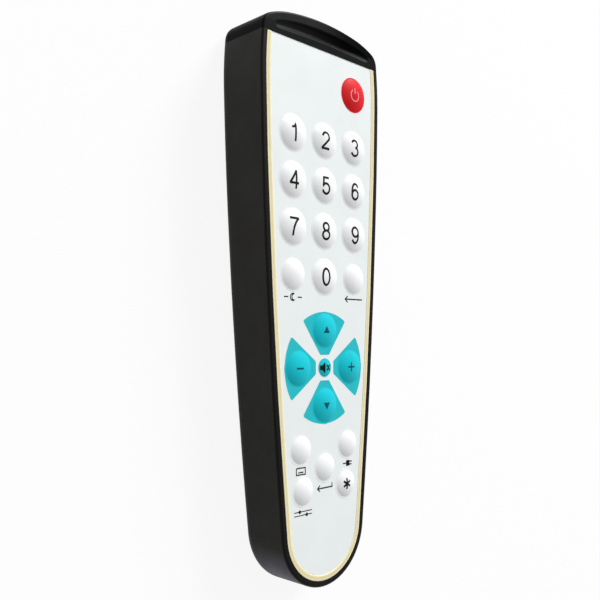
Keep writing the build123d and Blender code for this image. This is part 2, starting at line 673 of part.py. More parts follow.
def spring_contact(side):
    """The leaf contact that pushes on a cell's flat end: a back plate and a bowed leaf."""
    x = side * CELL_X
    wall_y = BAY_MIDDLE_Y + side * BAY_LENGTH / 2
    inner = -side
    low = CELL_Z - CONTACT_SIZE / 2
    high = CELL_Z + CONTACT_SIZE / 2
    room = BAY_LENGTH - CONTACT_THICK - CELL_LENGTH - NUB_LENGTH
    reach = min(SPRING_REACH, room - SHEET_GAP)
    leaf = make_face(
        Polyline(
            (wall_y, low),
            (wall_y, high),
            (wall_y + inner * CONTACT_THICK, high),
            (wall_y + inner * reach, CELL_Z + CONTACT_THICK),
            (wall_y + inner * reach, CELL_Z - CONTACT_THICK),
            (wall_y + inner * (reach - CONTACT_THICK), CELL_Z - CONTACT_THICK),
            (wall_y + inner * (reach - CONTACT_THICK), CELL_Z + CONTACT_THICK / 2),
            (wall_y + inner * CONTACT_THICK, high - 2 * CONTACT_THICK),
            (wall_y + inner * CONTACT_THICK, low),
            (wall_y, low),
        )
    )
    return Pos(x - CONTACT_SIZE / 2, 0, 0) * extrude(Plane.YZ * leaf, amount=CONTACT_SIZE)


def contact_tail(side):
    """The tail of an upper contact, up through the bay roof to the board."""
    x = side * CELL_X
    across = (x - TAIL_WIDTH / 2, x + TAIL_WIDTH / 2)
    along = (BAY_HIGH_Y - CONTACT_THICK, BAY_HIGH_Y)
    return block(across, along, (CELL_Z, 2 * MID_THICK)) & face_side(-BEYOND, BOARD_BOTTOM)


def bridge_contact():
    """One strip at the lower end: leaf for the left cell, plate for the right one, and a link."""
    along = (BAY_LOW_Y, BAY_LOW_Y + CONTACT_THICK)
    link = block((-CELL_X, CELL_X), along, (CELL_Z - CONTACT_SIZE / 2, CELL_Z - CONTACT_SIZE / 4))
    return spring_contact(-1) + plate_contact(1) + link


def battery_door():
    """The door plate with a round hinge edge, two hooks and the screw boss."""
    half = DOOR_HALF_WIDTH
    plate = block((-half, half), (DOOR_LOW_Y, HINGE_Y), (0, DOOR_THICK))
    plate = fillet(plate.edges().filter_by(Axis.Z).group_by(Axis.Y)[0], DOOR_CORNER)
    plate += Pos(0, HINGE_Y, HINGE_Z) * Rot(0, 90, 0) * Cylinder(HINGE_Z, 2 * half)
    for side in (-1, 1):
        across = (side * HOOK_OUT - HOOK_WIDTH / 2, side * HOOK_OUT + HOOK_WIDTH / 2)
        plate += block(across, (HINGE_Y - HOOK_ROOT, HINGE_Y), (HINGE_Z, HOOK_HIGH_Z))
        plate += block(across, (HINGE_Y - HOOK_ROOT, HINGE_Y + HOOK_REACH), (HOOK_LOW_Z, HOOK_HIGH_Z))
    place = (0, DOOR_SCREW_Y)
    plate += rod(DOOR_BOSS_RADIUS, place, 0, DOOR_BOSS_Z)
    plate -= rod(DOOR_HEAD_RADIUS + DOOR_HEAD_SLACK, place, 0, DOOR_SHOULDER_Z)
    return plate - rod(DOOR_SCREW_RADIUS + SHANK_SLACK, place, 0, BEYOND)


def battery_pad():
    """The foam pad on the inside of the door that keeps the cells from rattling."""
    across = (-PAD_WIDTH / 2, PAD_WIDTH / 2)
    along = (BAY_MIDDLE_Y - PAD_LENGTH / 2, BAY_MIDDLE_Y + PAD_LENGTH / 2)
    return block(across, along, (DOOR_THICK, DOOR_THICK + CELL_LIFT - PAD_GAP))


def cross_slots(radius, top):
    """The two crossed slots in a screw head, cut from below."""
    reach = radius * SLOT_REACH
    bar = Box(2 * reach, SLOT_WIDTH, 2 * top)
    return bar + Rot(0, 0, 90) * bar


def door_screw():
    """The captive door screw: slotted head, shank and a tapering point."""
    seat = DOOR_SHOULDER_Z
    straight = DOOR_BOSS_Z + BOSS_LIFT - seat
    lift = (Align.CENTER, Align.CENTER, Align.MIN)
    head = rod(DOOR_HEAD_RADIUS, (0, 0), DOOR_HEAD_SINK, seat)
    shank = rod(DOOR_SCREW_RADIUS, (0, 0), seat, seat + straight)
    point = Cone(DOOR_SCREW_RADIUS, DOOR_SCREW_TIP, DOOR_SCREW_TAPER, align=lift)
    point = Pos(0, 0, seat + straight) * point
    slots = cross_slots(DOOR_HEAD_RADIUS, DOOR_HEAD_SINK + DOOR_HEAD_HEIGHT / 2)
    return Pos(0, DOOR_SCREW_Y, 0) * (head - slots + shank + point)


def thread_insert():
    """The brass insert in the pillar over the door screw."""
    place = (0, DOOR_SCREW_Y)
    ring = rod(INSERT_RADIUS, place, PILLAR_Z, PILLAR_Z + INSERT_LENGTH)
    return ring - rod(DOOR_SCREW_RADIUS + INSERT_SLACK, place, 0, BEYOND)


def case_screws():
    """The case screws: slotted heads sunk in the back, shanks that reach the studs."""
    screws = []
    for place in SCREW_PLACES:
        head = rod(SCREW_HEAD_RADIUS, (0, 0), SCREW_HEAD_SINK, SCREW_SEAT_Z)
        head -= cross_slots(SCREW_HEAD_RADIUS, SCREW_HEAD_SINK + SCREW_HEAD_HEIGHT / 2)
        screw = head + rod(SCREW_RADIUS, (0, 0), SCREW_SEAT_Z, SCREW_TOP_Z)
        screws.append(Pos(*place, 0) * screw)
    return screws


def build():
    """Every piece by its node name, in the bench frame."""
    nodes = {
        "rear_shell": [rear_shell()],
        "front_bezel": [front_bezel()],
        "end_cap": [end_cap()],
        "face_sheet": [face_sheet()],
        "border_strip": [border_strip()],
        "case_seal": [case_seal()],
        "keypad_mat": [keypad_mat()],
        "circuit_board": [circuit_board()],
        "controller_chip": [controller_chip()],
        "resonator": [under_board(RESONATOR_SIZE, RESONATOR_PLACE)],
        "capacitor": [capacitor()],
        "transistor": [under_board(TRANSISTOR_SIZE, TRANSISTOR_PLACE)],
        "resistors": resistors(),
        "infrared_leds": infrared_leds(),
        "battery_left": [cell(-1)],
        "battery_right": [cell(1)],
        "positive_contact": [plate_contact(-1) + contact_tail(-1)],
        "negative_contact": [spring_contact(1) + contact_tail(1)],
        "bridge_contact": [bridge_contact()],
        "battery_door": [battery_door()],
        "battery_pad": [battery_pad()],
        "door_screw": [door_screw()],
        "thread_insert": [thread_insert()],
        "case_screws": case_screws(),
    }
    for name in KEYS:
        nodes["key_" + name] = key(name)
    return nodes


def origin_shift():
    """How far the pieces move along Y to put the origin under the middle of the case."""
    return -BODY.bounding_box().center().Y


def export(nodes):
    """Write each node to its own file, with the origin under the middle of the case."""
    os.makedirs("parts", exist_ok=True)
    shift = Pos(0, origin_shift(), 0)
    for name, pieces in nodes.items():
        solids = [shift * solid for piece in pieces for solid in piece.solids()]
        shape = solids[0] if len(solids) == 1 else Compound(children=solids)
        export_step(shape, os.path.join("parts", name + ".step"))


export(build())
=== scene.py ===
import json
import math

import bmesh
import bpy
from mathutils import Matrix, Vector

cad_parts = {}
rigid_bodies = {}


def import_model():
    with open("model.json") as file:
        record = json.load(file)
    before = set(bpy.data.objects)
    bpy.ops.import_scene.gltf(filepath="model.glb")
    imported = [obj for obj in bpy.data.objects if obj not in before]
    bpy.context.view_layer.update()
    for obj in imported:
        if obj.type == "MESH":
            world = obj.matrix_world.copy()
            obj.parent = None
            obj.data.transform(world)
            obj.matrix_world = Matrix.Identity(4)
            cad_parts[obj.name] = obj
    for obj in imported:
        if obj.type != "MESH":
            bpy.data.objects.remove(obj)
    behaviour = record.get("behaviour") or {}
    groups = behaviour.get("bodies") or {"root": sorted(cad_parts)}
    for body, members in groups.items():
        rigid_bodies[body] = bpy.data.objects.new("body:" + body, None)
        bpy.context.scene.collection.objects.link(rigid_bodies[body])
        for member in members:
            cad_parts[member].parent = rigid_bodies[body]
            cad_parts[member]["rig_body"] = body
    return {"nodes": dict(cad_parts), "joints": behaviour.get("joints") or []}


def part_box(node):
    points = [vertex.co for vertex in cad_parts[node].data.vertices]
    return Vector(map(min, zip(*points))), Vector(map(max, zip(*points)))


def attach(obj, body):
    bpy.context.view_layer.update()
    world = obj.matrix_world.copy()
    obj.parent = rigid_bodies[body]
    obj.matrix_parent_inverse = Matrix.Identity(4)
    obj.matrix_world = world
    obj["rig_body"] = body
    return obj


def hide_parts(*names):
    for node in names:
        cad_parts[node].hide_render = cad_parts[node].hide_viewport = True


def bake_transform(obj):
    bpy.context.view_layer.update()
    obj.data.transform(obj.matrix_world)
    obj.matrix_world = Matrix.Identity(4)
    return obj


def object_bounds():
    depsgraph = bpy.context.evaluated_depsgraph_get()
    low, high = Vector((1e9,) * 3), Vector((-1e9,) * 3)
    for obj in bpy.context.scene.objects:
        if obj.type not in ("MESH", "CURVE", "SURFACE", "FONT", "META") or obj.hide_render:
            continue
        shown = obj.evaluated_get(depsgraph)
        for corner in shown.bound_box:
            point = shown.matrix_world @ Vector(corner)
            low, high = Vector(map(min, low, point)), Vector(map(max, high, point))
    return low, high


# A wipe-clean remote control on a white table: a black two-part case, a pale sheet with
# domed membrane keys over it, a cream border bead and a dark infrared end cap.

for thing in list(bpy.data.objects):
    bpy.data.objects.remove(thing)

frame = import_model()
cad_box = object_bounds()

MM = 0.001
WELD = 0.001 * MM

# The face plane, from the frame: every key moves straight into it
PRESS = next(joint for joint in frame["joints"] if joint["name"] == "mute_press")
OUT = -Vector(PRESS["axis"]).normalized()
ACROSS = Vector((1, 0, 0))
UP_FACE = OUT.cross(ACROSS)
SHEET_POINTS = [vertex.co for vertex in frame["nodes"]["face_sheet"].data.vertices]
FACE_LEVEL = max(point.dot(OUT) for point in SHEET_POINTS)

# Keys: the lip of the flange and the carbon pill are those of the part's source
FLANGE_LIP = 0.6 * MM
PILL_THICK = 0.3 * MM
NUMBER_KEYS = ["1", "2", "3", "4", "5", "6", "7", "8", "9", "0"]
LOWER_KEYS = ["captions", "cable", "enter", "setup", "star"]
WHITE_KEYS = NUMBER_KEYS + ["sleep", "previous"] + LOWER_KEYS
FAN_KEYS = ["channel_up", "channel_down", "volume_up", "volume_down"]
TEAL_KEYS = FAN_KEYS + ["mute"]
KEY_NAMES = ["power"] + WHITE_KEYS + TEAL_KEYS

# Heights: the fans and a film's skirt over the sheet, and the ink over the sheet or a film. At
# the crown a mark reaches the facets of the CAD dome, and the film lies the ink's thickness
# under it. The film's foot lies a little way from the key's edge
PRINT_LIFT = 0.02 * MM
FILM_LIFT = 0.04 * MM
INK_LIFT = 0.03 * MM
FACET_SINK = 0.004 * MM
FOOT = 0.1 * MM


def on_face(x, y, up):
    """A point in the row frame, from a place on the face and a height over it."""
    return ACROSS * x + UP_FACE * y + OUT * (FACE_LEVEL + up)


class Key:
    """A key as its film needs it, measured on its CAD node.

    x and y are its place on the face. height is that of its dome over the face, and low the
    level of its underside. spring is the radius at which the film's dome leaves the sheet, and
    crown the radius of the sphere that the dome is cut from.
    """

    def __init__(self, name):
        points = [vertex.co for vertex in frame["nodes"]["key_" + name].data.vertices]
        across = [point.x for point in points]
        along = [point.dot(UP_FACE) for point in points]
        self.name = name
        self.body = "key_" + name + "_body"
        self.x = (min(across) + max(across)) / 2
        self.y = (min(along) + max(along)) / 2
        self.radius = (max(across) - min(across)) / 2 - FLANGE_LIP
        self.height = max(point.dot(OUT) for point in points) - FACE_LEVEL
        self.low = min(point.dot(OUT) for point in points) - FACE_LEVEL
        foot_inside = name in FAN_KEYS + LOWER_KEYS
        self.spring = self.radius + (-FOOT if foot_inside else FOOT)
        self.crown = (self.radius**2 + self.height**2) / (2 * self.height)

    def rise(self, reach):
        """Height of the film over the face, at a distance from the key's axis."""
        spread = self.radius * min(1, reach / self.spring)
        sphere = math.sqrt(self.crown**2 - spread**2)
        return self.height - self.crown + sphere - FACET_SINK - INK_LIFT

    def point(self, u, v):
        """A point on the printed side of the dome, at an offset from its centre."""
        return on_face(self.x + u, self.y + v, self.rise(math.hypot(u, v)) + INK_LIFT)


KEYS = {name: Key(name) for name in KEY_NAMES}
CENTRE = KEYS["mute"]


# Materials. Sizes of grain, patches and relief are in millimetres
BLACK = (0.0, 0.0, 0.0)
WHITE = (1.0, 1.0, 1.0)
WHOLE = (0.0, 1.0)
NOISE_RANGE = (0.3, 0.7)


def grey(level):
    return (level, level, level)


def srgb(red, green, blue):
    """A display colour from 0 to 255, as the linear values that a shader takes."""
    channels = [value / 255 for value in (red, green, blue)]
    return tuple(c / 12.92 if c <= 0.04045 else ((c + 0.055) / 1.055) ** 2.4 for c in channels)


def shade(colour, factor):
    return tuple(min(1.0, channel * factor) for channel in colour)


def new_material(name):
    """A material with its node tree and Principled shader, ready for more nodes."""
    material = bpy.data.materials.new(name)
    material.use_nodes = True
    return material, material.node_tree, material.node_tree.nodes["Principled BSDF"]


def own_place(tree):
    """The object's own coordinates, which are those of the row frame."""
    return tree.nodes.new("ShaderNodeTexCoord").outputs["Object"]


def own_axis(tree, axis):
    """One of the object's own coordinates."""
    split = tree.nodes.new("ShaderNodeSeparateXYZ")
    tree.links.new(own_place(tree), split.inputs["Vector"])
    return split.outputs[axis]


def out_of_face(tree):
    """The distance along the way out of the face."""
    dot = tree.nodes.new("ShaderNodeVectorMath")
    dot.operation = "DOT_PRODUCT"
    dot.inputs[1].default_value = OUT
    tree.links.new(own_place(tree), dot.inputs[0])
    return dot.outputs["Value"]


def noise(tree, speck, detail=3.0, roughness=0.55):
    """A noise texture with specks of a size."""
    texture = tree.nodes.new("ShaderNodeTexNoise")
    texture.inputs["Scale"].default_value = 1 / (speck * MM)
    texture.inputs["Detail"].default_value = detail
    texture.inputs["Roughness"].default_value = roughness
    tree.links.new(own_place(tree), texture.inputs["Vector"])
    return texture.outputs["Fac"]


def ramp(tree, value, stops):
    """A colour ramp on a value; stops are (place, colour) pairs."""
    node = tree.nodes.new("ShaderNodeValToRGB")
    while len(node.color_ramp.elements) < len(stops):
        node.color_ramp.elements.new(0.5)
    for element, (place, colour) in zip(node.color_ramp.elements, stops):
        element.position = place
        element.color = (*colour, 1)
    tree.links.new(value, node.inputs["Fac"])
    return node.outputs["Color"]


def fade(tree, value, ends, first, last):
    """A colour that changes from the first to the last between two places of a value."""
    return ramp(tree, value, [(ends[0], first), (ends[1], last)])


def remap(tree, value, first, last, ends=NOISE_RANGE):
    """A value stretched from its two ends, by default the middle of a noise, to a range of its own."""
    node = tree.nodes.new("ShaderNodeMapRange")
    node.inputs["From Min"].default_value = ends[0]
    node.inputs["From Max"].default_value = ends[1]
    node.inputs["To Min"].default_value = first
    node.inputs["To Max"].default_value = last
    tree.links.new(value, node.inputs["Value"])
    return node.outputs["Result"]


def multiplied(tree, first, second):
    """The product of two colours."""
    node = tree.nodes.new("ShaderNodeMix")
    node.data_type = "RGBA"
    node.blend_type = "MULTIPLY"
    node.inputs["Factor"].default_value = 1.0
    tree.links.new(first, node.inputs["A"])
    tree.links.new(second, node.inputs["B"])
    return node.outputs["Result"]


def mixed(tree, share, first, second):
    """A mix of two colours, by a share from 0 to 1."""
    node = tree.nodes.new("ShaderNodeMix")
    node.data_type = "RGBA"
    tree.links.new(share, node.inputs["Factor"])
    tree.links.new(first, node.inputs["A"])
    tree.links.new(second, node.inputs["B"])
    return node.outputs["Result"]


def bump(tree, shader, height, depth, below=None):
    """Relief of a real depth on the shader's normal."""
    node = tree.nodes.new("ShaderNodeBump")
    node.inputs["Strength"].default_value = 1.0
    node.inputs["Distance"].default_value = depth * MM
    tree.links.new(height, node.inputs["Height"])
    if below is not None:
        tree.links.new(below, node.inputs["Normal"])
    tree.links.new(node.outputs["Normal"], shader.inputs["Normal"])
    return node.outputs["Normal"]


def surface(name, colour, roughness, speck, depth,
            vary=0.06, metallic=0.0, patch=9.0, spread=0.08, shine=0.5):
    """A finish with fine relief, slow changes of tone and uneven gloss.

    speck is the size of the grain and depth its relief. vary is how far the tone wanders over
    patches of the given size, and spread how far the roughness does. shine is the specular
    level.
    """
    material, tree, shader = new_material(name)
    grain = noise(tree, speck)
    slow = noise(tree, patch, detail=2.0)
    tone = fade(tree, slow, NOISE_RANGE, shade(colour, 1 - vary), shade(colour, 1 + vary))
    tree.links.new(tone, shader.inputs["Base Color"])
    gloss = remap(tree, slow, roughness - spread, roughness + spread)
    tree.links.new(gloss, shader.inputs["Roughness"])
    shader.inputs["Metallic"].default_value = metallic
    shader.inputs["Specular IOR Level"].default_value = shine
    bump(tree, shader, grain, depth)
    return material


CASE_BLACK = srgb(36, 35, 32)
PAINTED_SHEEN_DARK = srgb(88, 89, 99)
PAINTED_SHEEN_PALE = srgb(100, 101, 111)
CAP_BLACK = srgb(11, 12, 13)
SHEET_WHITE = srgb(240, 246, 245)
KEY_WHITE = srgb(244, 245, 246)
POWER_RED = srgb(224, 34, 40)
TEAL = srgb(20, 196, 210)
FAN_TEAL = srgb(42, 194, 205)
INK_BLACK = srgb(12, 13, 14)
INK_TEAL = srgb(14, 84, 96)
INK_PINK = srgb(240, 150, 156)
GOLD_CREAM = srgb(235, 220, 164)
PALE_CREAM = srgb(246, 238, 206)
RUBBER_BLACK = srgb(26, 26, 27)
MAT_GREY = srgb(120, 122, 124)
FOAM_GREY = srgb(84, 86, 90)
EPOXY_BLACK = srgb(32, 32, 34)
CARBON_BLACK = srgb(30, 30, 31)
WAX_BLUE = srgb(60, 96, 158)
ALUMINIUM = srgb(190, 192, 196)
NICKEL = srgb(196, 192, 182)
STEEL = srgb(168, 170, 172)
BRASS = srgb(196, 160, 86)
MASK_GREEN = srgb(24, 96, 52)
MASK_DARK_GREEN = srgb(20, 84, 46)
TRACK_GREEN = srgb(58, 136, 72)
JACKET_BLUE = srgb(64, 78, 96)
JACKET_GOLD = srgb(176, 146, 84)
LILAC = srgb(206, 200, 224)
PALE_LILAC = srgb(226, 222, 238)

# Case: the grain, the pits and the worn patches, with the parts of their noise that show
CASE_GRAIN = 0.22
CASE_GRAIN_DEPTH = 0.03
CASE_PITS = 0.6
CASE_PITS_DEPTH = 0.02
CASE_PATCH = 14.0
GRAIN_RANGE = (0.35, 0.65)
GRAIN_TONE = 0.86
WEAR_RANGE = (0.35, 0.75)
WEAR_TONES = (0.9, 1.12)
CASE_ROUGHNESS = (0.61, 0.49)
CASE_SHINE = 0.14

# Case: the painted shade that darkens it at the foot against the head, and the painted shade that makes
# the rim blacker, down to a depth
FOOT_PAINTED_SHADE = 0.7
RIM_PAINTED_SHADE = 0.45
RIM_SHINE = 0.07
RIM_DEPTH = 0.6 * MM

# Case: the painted sheen on the foot grows with the angle, from 0 head-on to 1 edge-on, and it
# ends between two shares of the length
SHEEN_ANGLES = (0.42, 0.76)
SHEEN_PLACES = (0.08, 0.15)

# Cap: its patches and its fine grain
CAP_PATCH = 6.0
CAP_TONES = (0.9, 1.1)
CAP_ROUGHNESS = (0.41, 0.51)
CAP_GRAIN = 0.8
CAP_GRAIN_DEPTH = 0.004

# Cap: its shine below the groove and along the ridge over it, from the left to the right. The
# ridge starts over the groove, at distances from the end of the case
CAP_SHINE = (0.028, 0.035)
RIDGE_SHINE = ((0.0, 0.055), (0.4, 0.06), (0.68, 0.008), (1.0, 0.004))
RIDGE_ENDS = (7.4 * MM, 6.2 * MM)

# Board: its tracks, whose width is a share of their pitch, and its lacquer
TRACK_PITCH = 4 * MM
TRACK_WIDTH = 0.06
TRACK_RELIEF = 0.03
LACQUER_PATCH = 2.0
LACQUER_ROUGHNESS = (0.25, 0.4)

# Cell jacket: the band round one end, with a soft edge, and the lacquer
BAND_LENGTH = 12 * MM
BAND_EDGE = 0.2 * MM
BAND_RANGE = (0.45, 0.55)
JACKET_PATCH = 2.5
JACKET_ROUGHNESS = (0.22, 0.36)
JACKET_METALLIC = 0.6
JACKET_GRAIN = 0.5
JACKET_GRAIN_DEPTH = 0.008

# Lamp resin
RESIN_PATCH = 2.0
RESIN_DEPTH = 0.01
RESIN_ROUGHNESS = (0.05, 0.16)
RESIN_CLEARNESS = 0.6


def case_plastic():
    """Moulded black plastic with a fine spark-eroded grain, rubbed paler in patches; painted shade
    darkens it towards the foot.

    A painted sheen pales the round foot where it is seen at a low angle. Painted shade makes
    the rim round the sheet blacker.
    """
    material, tree, shader = new_material("case_black_grain")
    grain = noise(tree, CASE_GRAIN, detail=4.0, roughness=0.6)
    pits = noise(tree, CASE_PITS, detail=2.0)
    wear = noise(tree, CASE_PATCH, detail=4.0, roughness=0.65)
    speckle = fade(tree, grain, GRAIN_RANGE, grey(GRAIN_TONE), WHITE)
    along = remap(tree, own_axis(tree, "Y"), 0, 1, (cad_box[0][1], cad_box[1][1]))
    top = remap(tree, out_of_face(tree), 0, 1, (FACE_LEVEL - RIM_DEPTH, FACE_LEVEL))
    tone = fade(tree, wear, WEAR_RANGE, *(shade(CASE_BLACK, share) for share in WEAR_TONES))
    # Painted shade: the case is darker towards the foot
    tone = multiplied(tree, tone, fade(tree, along, WHOLE, grey(FOOT_PAINTED_SHADE), WHITE))
    # Painted shade: the rim round the sheet is blacker
    tone = multiplied(tree, tone, fade(tree, top, WHOLE, WHITE, grey(RIM_PAINTED_SHADE)))
    # Painted sheen: the foot is paler where it is seen at a low angle, in patches that follow the wear
    low_angle = tree.nodes.new("ShaderNodeLayerWeight").outputs["Facing"]
    slanted = fade(tree, low_angle, SHEEN_ANGLES, BLACK, WHITE)
    foot = fade(tree, along, SHEEN_PLACES, WHITE, BLACK)
    painted_sheen = fade(tree, wear, WEAR_RANGE, PAINTED_SHEEN_DARK, PAINTED_SHEEN_PALE)
    tone = mixed(tree, multiplied(tree, slanted, foot), tone, painted_sheen)
    tree.links.new(multiplied(tree, tone, speckle), shader.inputs["Base Color"])
    tree.links.new(remap(tree, wear, *CASE_ROUGHNESS), shader.inputs["Roughness"])
    shine = fade(tree, top, WHOLE, grey(CASE_SHINE), grey(RIM_SHINE))
    tree.links.new(shine, shader.inputs["Specular IOR Level"])
    coarse = bump(tree, shader, pits, CASE_PITS_DEPTH)
    bump(tree, shader, grain, CASE_GRAIN_DEPTH, below=coarse)
    return material


def cap_gloss():
    """Dark infrared window; the ridge over its groove is rubbed duller towards the right."""
    material, tree, shader = new_material("window_dark_gloss")
    right = remap(tree, own_axis(tree, "X"), 0, 1, (cad_box[0][0], cad_box[1][0]))
    ridge_places = [cad_box[1][1] - back for back in RIDGE_ENDS]
    ridge = remap(tree, own_axis(tree, "Y"), 0, 1, ridge_places)
    slow = noise(tree, CAP_PATCH, detail=2.0)
    tone = fade(tree, slow, NOISE_RANGE, *(shade(CAP_BLACK, share) for share in CAP_TONES))
    tree.links.new(tone, shader.inputs["Base Color"])
    tree.links.new(remap(tree, slow, *CAP_ROUGHNESS), shader.inputs["Roughness"])
    below = fade(tree, slow, NOISE_RANGE, *(grey(shine) for shine in CAP_SHINE))
    above = ramp(tree, right, [(place, grey(shine)) for place, shine in RIDGE_SHINE])
    tree.links.new(mixed(tree, ridge, below, above), shader.inputs["Specular IOR Level"])
    bump(tree, shader, noise(tree, CAP_GRAIN), CAP_GRAIN_DEPTH)
    return material


def circuit_lacquer():
    """Green solder mask over faint copper tracks."""
    material, tree, shader = new_material("board_green_lacquer")
    tracks = tree.nodes.new("ShaderNodeTexBrick")
    tracks.inputs["Scale"].default_value = 1 / TRACK_PITCH
    tracks.inputs["Mortar Size"].default_value = TRACK_WIDTH
    tracks.inputs["Color1"].default_value = (*MASK_GREEN, 1)
    tracks.inputs["Color2"].default_value = (*MASK_DARK_GREEN, 1)
    tracks.inputs["Mortar"].default_value = (*TRACK_GREEN, 1)
    tree.links.new(own_place(tree), tracks.inputs["Vector"])
    tree.links.new(tracks.outputs["Color"], shader.inputs["Base Color"])
    gloss = remap(tree, noise(tree, LACQUER_PATCH), *LACQUER_ROUGHNESS)
    tree.links.new(gloss, shader.inputs["Roughness"])
    bump(tree, shader, tracks.outputs["Fac"], TRACK_RELIEF)
    return material


def cell_print():
    """A plain cell jacket: grey-blue lacquer with a golden band round one end."""
    material, tree, shader = new_material("cell_jacket_lacquer")
    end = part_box("battery_left")[1].y - BAND_LENGTH
    band = remap(tree, own_axis(tree, "Y"), 0, 1, (end, end + BAND_EDGE))
    tone = fade(tree, band, BAND_RANGE, JACKET_BLUE, JACKET_GOLD)
    tree.links.new(tone, shader.inputs["Base Color"])
    gloss = remap(tree, noise(tree, JACKET_PATCH), *JACKET_ROUGHNESS)
    tree.links.new(gloss, shader.inputs["Roughness"])
    shader.inputs["Metallic"].default_value = JACKET_METALLIC
    bump(tree, shader, noise(tree, JACKET_GRAIN), JACKET_GRAIN_DEPTH)
    return material


def lamp_resin():
    """Clear lilac resin of the infrared lamps."""
    material, tree, shader = new_material("led_clear_resin")
    painted_sheen = noise(tree, RESIN_PATCH)
    tone = fade(tree, painted_sheen, NOISE_RANGE, LILAC, PALE_LILAC)
    tree.links.new(tone, shader.inputs["Base Color"])
    tree.links.new(remap(tree, painted_sheen, *RESIN_ROUGHNESS), shader.inputs["Roughness"])
    shader.inputs["Transmission Weight"].default_value = RESIN_CLEARNESS
    bump(tree, shader, painted_sheen, RESIN_DEPTH)
    return material


# Finishes by name; after the colour come the roughness, the grain's size and its relief
MATERIALS = {
    "case": case_plastic(),
    "cap": cap_gloss(),
    "board": circuit_lacquer(),
    "lamp": lamp_resin(),
    "cell": cell_print(),
    "sheet": surface("sheet_white_film", SHEET_WHITE, 0.5, 0.25, 0.006, vary=0.012, patch=12.0),
    "bead": surface("strip_gold_bead", GOLD_CREAM, 0.42, 0.3, 0.01, vary=0.03, patch=3.0, shine=0.2),
    "bead_edge": surface("strip_pale_edge", PALE_CREAM, 0.42, 0.3, 0.01, vary=0.02, patch=3.0, shine=0.2),
    "seal": surface("seal_rubber_black", RUBBER_BLACK, 0.75, 0.3, 0.02, vary=0.15),
    "mat": surface("mat_grey_foam", MAT_GREY, 0.9, 0.5, 0.08, vary=0.1),
    "foam": surface("foam_grey_pad", FOAM_GREY, 0.95, 0.45, 0.12, vary=0.16, patch=1.5, spread=0.03),
    "chip": surface("chip_black_epoxy", EPOXY_BLACK, 0.6, 0.15, 0.01, vary=0.12, patch=3.0),
    "pill": surface("pill_black_carbon", CARBON_BLACK, 0.8, 0.2, 0.01, vary=0.15, patch=1.0),
    "resonator": surface("resonator_blue_wax", WAX_BLUE, 0.45, 0.5, 0.04, vary=0.1, patch=2.0),
    "can": surface("can_aluminium", ALUMINIUM, 0.32, 0.1, 0.004, metallic=1.0, patch=2.0),
    "nickel": surface("contact_nickel_spring", NICKEL, 0.28, 0.2, 0.004, metallic=1.0, patch=2.0),
    "steel": surface("screw_steel_plated", STEEL, 0.34, 0.12, 0.006, metallic=1.0, patch=1.0),
    "brass": surface("insert_brass_turned", BRASS, 0.3, 0.12, 0.006, metallic=1.0, patch=1.0),
    "key_white": surface("key_white_film", KEY_WHITE, 0.42, 0.3, 0.004, vary=0.01, patch=5.0),
    "key_red": surface("key_red_film", POWER_RED, 0.46, 0.3, 0.004, vary=0.04, patch=5.0, shine=0.06),
    "key_teal": surface("key_teal_film", TEAL, 0.42, 0.3, 0.004, vary=0.03, patch=5.0, shine=0.12),
    "print_teal": surface("print_teal_ink", FAN_TEAL, 0.5, 0.25, 0.005, vary=0.03, patch=5.0, shine=0.12),
    "ink_black": surface("ink_black_print", INK_BLACK, 0.6, 0.2, 0.004, vary=0.1, patch=2.0, shine=0.08),
    "ink_teal": surface("ink_teal_print", INK_TEAL, 0.6, 0.2, 0.004, vary=0.08, patch=2.0, shine=0.08),
    "ink_pink": surface("ink_pink_print", INK_PINK, 0.6, 0.2, 0.004, vary=0.04, patch=2.0, shine=0.08),
}

NODE_FINISH = {
    "rear_shell": "case",
    "front_bezel": "case",
    "battery_door": "case",
    "end_cap": "cap",
    "face_sheet": "sheet",
    "case_seal": "seal",
    "keypad_mat": "mat",
    "circuit_board": "board",
    "controller_chip": "chip",
    "transistor": "chip",
    "resistors": "chip",
    "resonator": "resonator",
    "capacitor": "can",
    "infrared_leds": "lamp",
    "battery_left": "cell",
    "battery_right": "cell",
    "positive_contact": "nickel",
    "negative_contact": "nickel",
    "bridge_contact": "nickel",
    "battery_pad": "foam",
    "door_screw": "steel",
    "case_screws": "steel",
    "thread_insert": "brass",
}

for node_name, finish in NODE_FINISH.items():
    node_mesh = frame["nodes"][node_name].data
    node_mesh.materials.clear()
    node_mesh.materials.append(MATERIALS[finish])


# Mesh helpers
TURN_SEGMENTS = 72


def new_object(name, data):
    """An object in the scene, with its mesh, light or camera."""
    thing = bpy.data.objects.new(name, data)
    bpy.context.scene.collection.objects.link(thing)
    return thing


def make_piece(name, points, faces, finish, smooth=True):
    """A mesh object from points and faces in the row frame."""
    mesh = bpy.data.meshes.new(name)
    mesh.from_pydata([tuple(point) for point in points], [], faces)
    mesh.materials.append(MATERIALS[finish])
    mesh.polygons.foreach_set("use_smooth", [smooth] * len(mesh.polygons))
    mesh.update()
    piece = new_object(name, mesh)
    return piece


def bend_with(piece):
    """Bakes the piece's place into its mesh and returns the piece.
    """
    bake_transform(piece)
    return piece


def turned(profile, key):
    """Points and faces of a profile of (radius, height) pairs turned about a key's axis.

    A pair of radius 0 at either end closes the shape on its axis.
    """
    points = []
    faces = []
    rings = []
    for radius, height in profile:
        count = 1 if radius == 0 else TURN_SEGMENTS
        rings.append((len(points), count))
        for index in range(count):
            angle = 2 * math.pi * index / count
            across = radius * math.cos(angle)
            along = radius * math.sin(angle)
            points.append(on_face(key.x + across, key.y + along, height))
    for (first, size), (second, other) in zip(rings, rings[1:]):
        for index in range(TURN_SEGMENTS):
            after = index + 1
            loop = [first + index % size, first + after % size]
            loop += [second + after % other, second + index % other]
            corners = list(dict.fromkeys(loop))
            if len(corners) > 2:
                faces.append(corners)
    return points, faces


# Key films and cores
SKIRT = 0.22 * MM
DOME_RINGS = 18
FILM_THICK = 0.15 * MM


